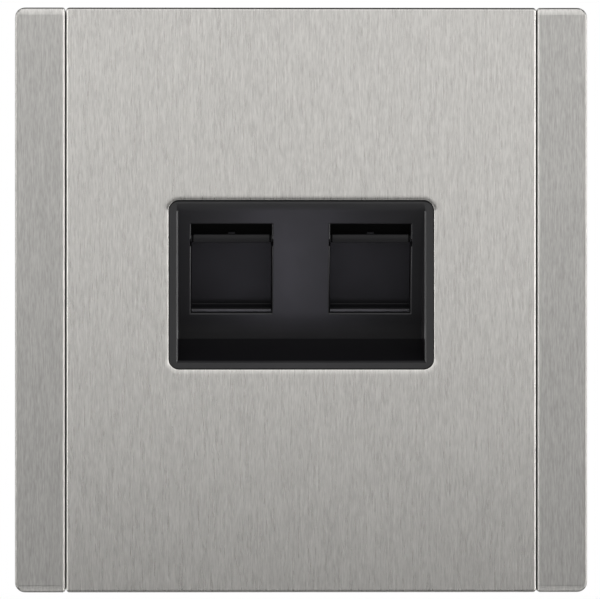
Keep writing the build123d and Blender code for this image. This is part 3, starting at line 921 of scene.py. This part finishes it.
def mould_flap(hand, finish):
    """Dust flap: the CAD piece with its lip, nub and barrel ends rounded."""
    flap = copy_solid(f"{hand}_flap", f"{hand}_dust_flap")
    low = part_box(f"{hand}_flap")[0]
    hinge = hinges[f"{hand}_flap_hinge"]

    def barrel_end(first, second):
        return all(
            abs(abs(end.x - hinge.x) - finish.barrel_end) < finish.barrel_end_round
            and (end - hinge).yz.length < finish.barrel_radius + NEAR
            for end in (first, second)
        )

    def nub(first, second):
        return all(
            abs(end.x - hinge.x) < NUB_REACH and end.z > hinge.z + finish.barrel_radius / 2
            for end in (first, second)
        )

    front = min(point.co.y for point in flap.data.vertices if point.co.z < low.z + LIP_ZONE)

    def lip(first, second):
        return max(first.y, second.y) < front + LIP_DEPTH and abs(first.x - second.x) > LIP_RUN

    def lip_top(first, second):
        return lip(first, second) and max(first.z, second.z) > low.z + LIP_EDGE

    def lip_foot(first, second):
        return lip(first, second) and max(first.z, second.z) < low.z + LIP_EDGE

    round_edges(flap, finish.barrel_end_round, 5, barrel_end, radians(35.0))
    round_edges(flap, finish.nub_round, 3, nub, radians(60.0))
    round_edges(flap, finish.lip_foot_round, 2, lip_foot, radians(60.0))
    round_edges(flap, finish.lip_round, 6, lip_top, radians(60.0))
    for point in flap.data.vertices:
        _, depth, rise = point.co - hinge
        reach = hypot(depth, rise)
        if 0.0 < reach < finish.barrel_radius + NEAR and depth < 0.0:
            stretch = (reach / max(-depth, abs(rise))) ** finish.barrel_square
            point.co.y = hinge.y + depth * stretch
            point.co.z = hinge.z + rise * stretch
    return flap


def lay_floor(setup):
    """Pale floor under the socket, which reads as white and still takes a shadow."""
    bpy.ops.object.select_all(action="DESELECT")
    level = cad_box[0].z - setup.floor_drop
    bpy.ops.mesh.primitive_plane_add(size=FLOOR_SIZE, location=(0.0, FLOOR_BACK, level))
    floor = bpy.context.object
    floor.name = "studio_floor"
    bpy.ops.object.transform_apply(location=True, rotation=False, scale=False)
    material, tree, shader = start_material("studio_floor")
    shader.inputs["Base Color"].default_value = (0.85, 0.85, 0.85, 1.0)
    shader.inputs["Roughness"].default_value = 1.0
    shader.inputs["Specular IOR Level"].default_value = 0.0
    glow = add_node(tree, "ShaderNodeMath", operation="MULTIPLY")
    glow.inputs[1].default_value = FLOOR_GLOW
    path = add_node(tree, "ShaderNodeLightPath")
    tree.links.new(path.outputs["Is Camera Ray"], glow.inputs[0])
    shader.inputs["Emission Color"].default_value = (1.0, 1.0, 1.0, 1.0)
    tree.links.new(glow.outputs["Value"], shader.inputs["Emission Strength"])
    floor.data.materials.append(material)


def light_room(scene):
    """White behind the socket, and a soft room in front that is brighter at the sides."""
    world = bpy.data.worlds.new("studio_room")
    world.use_nodes = True
    tree = world.node_tree
    background = tree.nodes["Background"]
    ray = add_node(tree, "ShaderNodeTexCoord")
    axes = add_node(tree, "ShaderNodeSeparateXYZ")
    tree.links.new(ray.outputs["Generated"], axes.inputs["Vector"])
    height = add_node(tree, "ShaderNodeMapRange", {"From Min": -1.0, "From Max": 1.0})
    tree.links.new(axes.outputs["Z"], height.inputs["Value"])
    room = add_node(tree, "ShaderNodeValToRGB")
    ramp = room.color_ramp
    ramp.interpolation = "EASE"
    while len(ramp.elements) < len(ROOM_LEVELS):
        ramp.elements.new(0.5)
    for stop, (rise, level) in zip(ramp.elements, ROOM_LEVELS):
        stop.position = (rise + 1.0) / 2.0
        stop.color = (level, level, level, 1.0)
    tree.links.new(height.outputs["Result"], room.inputs["Fac"])
    near, far = SIDE_BAND
    left = eased(tree, axes.outputs["X"], -far, -near, SIDE_LEVELS[0], 1.0)
    right = eased(tree, axes.outputs["X"], near, far, 1.0, SIDE_LEVELS[1])
    ahead = eased(tree, axes.outputs["Y"], *AHEAD_BAND, 1.0, AHEAD_REST)
    front = add_node(tree, "ShaderNodeVectorMath", operation="SCALE")
    tree.links.new(room.outputs["Color"], front.inputs[0])
    tree.links.new(product(tree, ahead, product(tree, left, right)), front.inputs["Scale"])
    level = add_node(tree, "ShaderNodeMath", operation="ABSOLUTE")
    tree.links.new(axes.outputs["Z"], level.inputs[0])
    behind = product(
        tree,
        eased(tree, axes.outputs["Y"], *BEHIND_BAND),
        eased(tree, level.outputs["Value"], *LEVEL_BAND, 1.0, 0.0),
    )
    path = add_node(tree, "ShaderNodeLightPath")
    white = add_node(tree, "ShaderNodeMath", operation="MAXIMUM")
    tree.links.new(path.outputs["Is Camera Ray"], white.inputs[0])
    tree.links.new(behind, white.inputs[1])
    mix = add_node(tree, "ShaderNodeMix", data_type="RGBA")
    mix.inputs["B"].default_value = (1.0, 1.0, 1.0, 1.0)
    tree.links.new(white.outputs["Value"], mix.inputs["Factor"])
    tree.links.new(front.outputs["Vector"], mix.inputs["A"])
    tree.links.new(mix.outputs["Result"], background.inputs["Color"])
    background.inputs["Strength"].default_value = 1.0
    scene.world = world


def hang_light(
    name,
    size,
    place,
    energy,
    aim=outlet_middle,
    beam=radians(180.0),
    tint=(1.0, 1.0, 1.0),
    lit=(),
):
    """An area light turned towards a point, unseen, which may light a few pieces only."""
    light = bpy.data.lights.new(name, "AREA")
    light.shape = "RECTANGLE"
    light.size, light.size_y = size
    light.energy = energy
    light.spread = beam
    light.color = tint
    lamp = bpy.data.objects.new(name, light)
    bpy.context.scene.collection.objects.link(lamp)
    lamp.location = place
    lamp.rotation_euler = (aim - lamp.location).to_track_quat("-Z", "Y").to_euler()
    lamp.visible_camera = False
    if lit:
        group = bpy.data.collections.new(f"{name}_pieces")
        for piece in lit:
            group.objects.link(bpy.data.objects[piece])
        lamp.light_linking.receiver_collection = group


def hang_lights():
    """Wide lights above and at both sides, and small reflectors low in front of single pieces."""
    for light in SOFT_LIGHTS:
        hang_light(*light)
    cool = {"beam": OUTLET_BEAM, "tint": COOL_TINT}
    hang_light("outlet_reflector", *OUTLET_REFLECTOR, lit=("outlet_bezel",), **cool)
    size, (out, ahead, up), energy = FLAP_REFLECTOR
    for hand, across in zip(HANDS, (-out, out)):
        hang_light(
            f"{hand}_flap_reflector",
            size,
            (across, ahead, up),
            energy,
            Vector((across, outlet_middle.y, outlet_middle.z)),
            lit=(f"{hand}_dust_flap",),
            **cool,
        )
    size, place, energy = END_REFLECTOR
    for hand in HANDS:
        low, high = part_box(f"{hand}_side_strip")
        foot = Vector(((low.x + high.x) / 2, low.y, low.z))
        hang_light(
            f"{hand}_end_reflector",
            size,
            foot + place,
            energy,
            foot,
            END_BEAM,
            lit=(f"{hand}_strip",),
        )


def stand_camera(scene, setup):
    """Camera in front of the cover, a little to the left, aimed at the picture's middle."""
    lens = bpy.data.cameras.new("front_camera")
    camera = bpy.data.objects.new("front_camera", lens)
    scene.collection.objects.link(camera)
    lens.sensor_width = 36.0
    lens.lens = lens.sensor_width * setup.camera_distance / setup.frame_width
    across, up = FRAME_SHIFT
    aim = Vector((across, cover_low.y, up))
    turn = setup.camera_azimuth
    camera.location = aim + Vector((-sin(turn), -cos(turn), 0.0)) * setup.camera_distance
    camera.rotation_euler = (aim - camera.location).to_track_quat("-Z", "Y").to_euler()
    lens.clip_end = 10.0
    scene.camera = camera


class SOCKET_OT_steel_cover(bpy.types.Operator):
    """Brush the cover plate and the two side strips"""

    bl_idname = "socket.steel_cover"
    bl_label = "Steel Cover"

    def execute(self, context):
        finish = context.scene.socket_steel
        steel = brushed_steel("cover_steel", finish.cover_tone, finish.cover_roughness, finish)
        finish_piece(press_cover(finish), steel, "cover_plate", "socket")
        # The strips' steel carries painted highlights at their ends and seam edges
        steel = brushed_steel(
            "strip_steel",
            finish.strip_tone,
            finish.strip_roughness,
            finish,
            finish.strip_end_painted_highlight,
        )
        for hand in HANDS:
            strip = press_strip(hand, finish)
            finish_piece(strip, steel, f"{hand}_side_strip", "socket")
        return {"FINISHED"}


class SOCKET_OT_outlet(bpy.types.Operator):
    """Mould the outlet and its dust flaps in black"""

    bl_idname = "socket.outlet"
    bl_label = "Outlet"

    def execute(self, context):
        finish = context.scene.socket_outlet
        plastic = moulded_plastic(
            "outlet_plastic",
            finish.tone,
            finish.grain_size,
            finish.roughness,
            gloss=OUTLET_GLOSS,
            # Painted shade on the hollow's floor and painted light just above it, made by the
            # gloss
            painted_hollow_shading=(finish.floor_line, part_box("insert_bezel")[0].y, HOLLOW_SOFTNESS),
        )
        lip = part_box("left_flap")[0].z + LIP_HEIGHT
        flap_plastic = moulded_plastic(
            "flap_plastic",
            finish.tone,
            finish.grain_size,
            finish.roughness,
            gloss=FLAP_GLOSS,
            # Painted highlight on the flap's lip, made by the gloss
            painted_lip_sheen=(lip, LIP_SOFTNESS),
        )
        finish_piece(mould_bezel(finish), plastic, "insert_bezel", "socket")
        for hand in HANDS:
            flap = mould_flap(hand, finish)
            finish_piece(flap, flap_plastic, f"{hand}_flap", f"{hand}_flap")
        return {"FINISHED"}


class SOCKET_OT_mounting(bpy.types.Operator):
    """Finish the frame, the carrier, the module holder and the support ring"""

    bl_idname = "socket.mounting"
    bl_label = "Mounting"

    def execute(self, context):
        plastic = moulded_plastic("frame_plastic", (0.02, 0.02, 0.021), 0.0003, 0.5)
        for node in ("base_frame", "plate_carrier", "module_holder"):
            dress(node, plastic)
        dress("support_ring", plated_metal("ring_steel", (0.62, 0.62, 0.60), 0.32, 0.003))
        return {"FINISHED"}


class SOCKET_OT_jack_modules(bpy.types.Operator):
    """Finish the jacks: housings, shields, contact springs and boards"""

    bl_idname = "socket.jack_modules"
    bl_label = "Jack Modules"

    def execute(self, context):
        housing = moulded_plastic("jack_plastic", (0.004, 0.004, 0.004), 0.0002, 0.6, gloss=1.2)
        tin = plated_metal("shield_steel", (0.68, 0.68, 0.66), 0.28, 0.002)
        gold = plated_metal("contact_gold", (0.85, 0.62, 0.26), 0.22, 0.0008)
        lacquer = moulded_plastic("board_lacquer", (0.01, 0.09, 0.03), 0.0004, 0.35)
        for hand in HANDS:
            dress(f"{hand}_jack_housing", housing)
            dress(f"{hand}_shield", tin)
            dress(f"{hand}_contact_springs", gold)
            dress(f"{hand}_circuit_board", lacquer)
        return {"FINISHED"}


class SOCKET_OT_wire_terminals(bpy.types.Operator):
    """Finish the terminal blocks, their blades and the wire caps"""

    bl_idname = "socket.wire_terminals"
    bl_label = "Wire Terminals"

    def execute(self, context):
        block = moulded_plastic("terminal_plastic", (0.27, 0.27, 0.255), 0.0003, 0.45)
        bronze = plated_metal("terminal_bronze", (0.55, 0.45, 0.30), 0.3, 0.0008)
        cap = moulded_plastic("cap_plastic", (0.22, 0.22, 0.21), 0.0003, 0.42)
        for hand in HANDS:
            dress(f"{hand}_terminal_block", block)
            dress(f"{hand}_terminal_blades", bronze)
            dress(f"{hand}_wire_cap", cap)
        return {"FINISHED"}


class SOCKET_OT_studio(bpy.types.Operator):
    """Set the floor, the lights, the white surroundings and the camera"""

    bl_idname = "socket.studio"
    bl_label = "Studio"

    def execute(self, context):
        setup = context.scene.socket_studio
        lay_floor(setup)
        light_room(context.scene)
        hang_lights()
        stand_camera(context.scene, setup)
        context.scene.view_settings.view_transform = "Standard"
        return {"FINISHED"}


class SOCKET_PT_panel(bpy.types.Panel):
    """Lists the socket's pieces and their finishes"""

    bl_label = "Double Data Socket"
    bl_idname = "SOCKET_PT_panel"
    bl_space_type = "VIEW_3D"
    bl_region_type = "UI"
    bl_category = "Socket"

    def draw(self, context):
        layout = self.layout
        for group in ("socket_steel", "socket_outlet", "socket_studio"):
            settings = getattr(context.scene, group)
            column = layout.column()
            for name in settings.__annotations__:
                column.prop(settings, name)
        for operator in OPERATORS:
            layout.operator(operator.bl_idname)


GROUPS = {
    "socket_steel": SteelFinish,
    "socket_outlet": OutletFinish,
    "socket_studio": StudioSetup,
}
OPERATORS = (
    SOCKET_OT_steel_cover,
    SOCKET_OT_outlet,
    SOCKET_OT_mounting,
    SOCKET_OT_jack_modules,
    SOCKET_OT_wire_terminals,
    SOCKET_OT_studio,
)


def register():
    for group in GROUPS.values():
        bpy.utils.register_class(group)
    for name, group in GROUPS.items():
        setattr(bpy.types.Scene, name, PointerProperty(type=group))
    for operator in OPERATORS:
        bpy.utils.register_class(operator)
    bpy.utils.register_class(SOCKET_PT_panel)


def unregister():
    bpy.utils.unregister_class(SOCKET_PT_panel)
    for operator in reversed(OPERATORS):
        bpy.utils.unregister_class(operator)
    for name, group in GROUPS.items():
        delattr(bpy.types.Scene, name)
        bpy.utils.unregister_class(group)


def main():
    register()
    bpy.ops.socket.steel_cover()
    bpy.ops.socket.outlet()
    bpy.ops.socket.mounting()
    bpy.ops.socket.jack_modules()
    bpy.ops.socket.wire_terminals()
    bpy.ops.socket.studio()


if __name__ == "__main__":
    main()
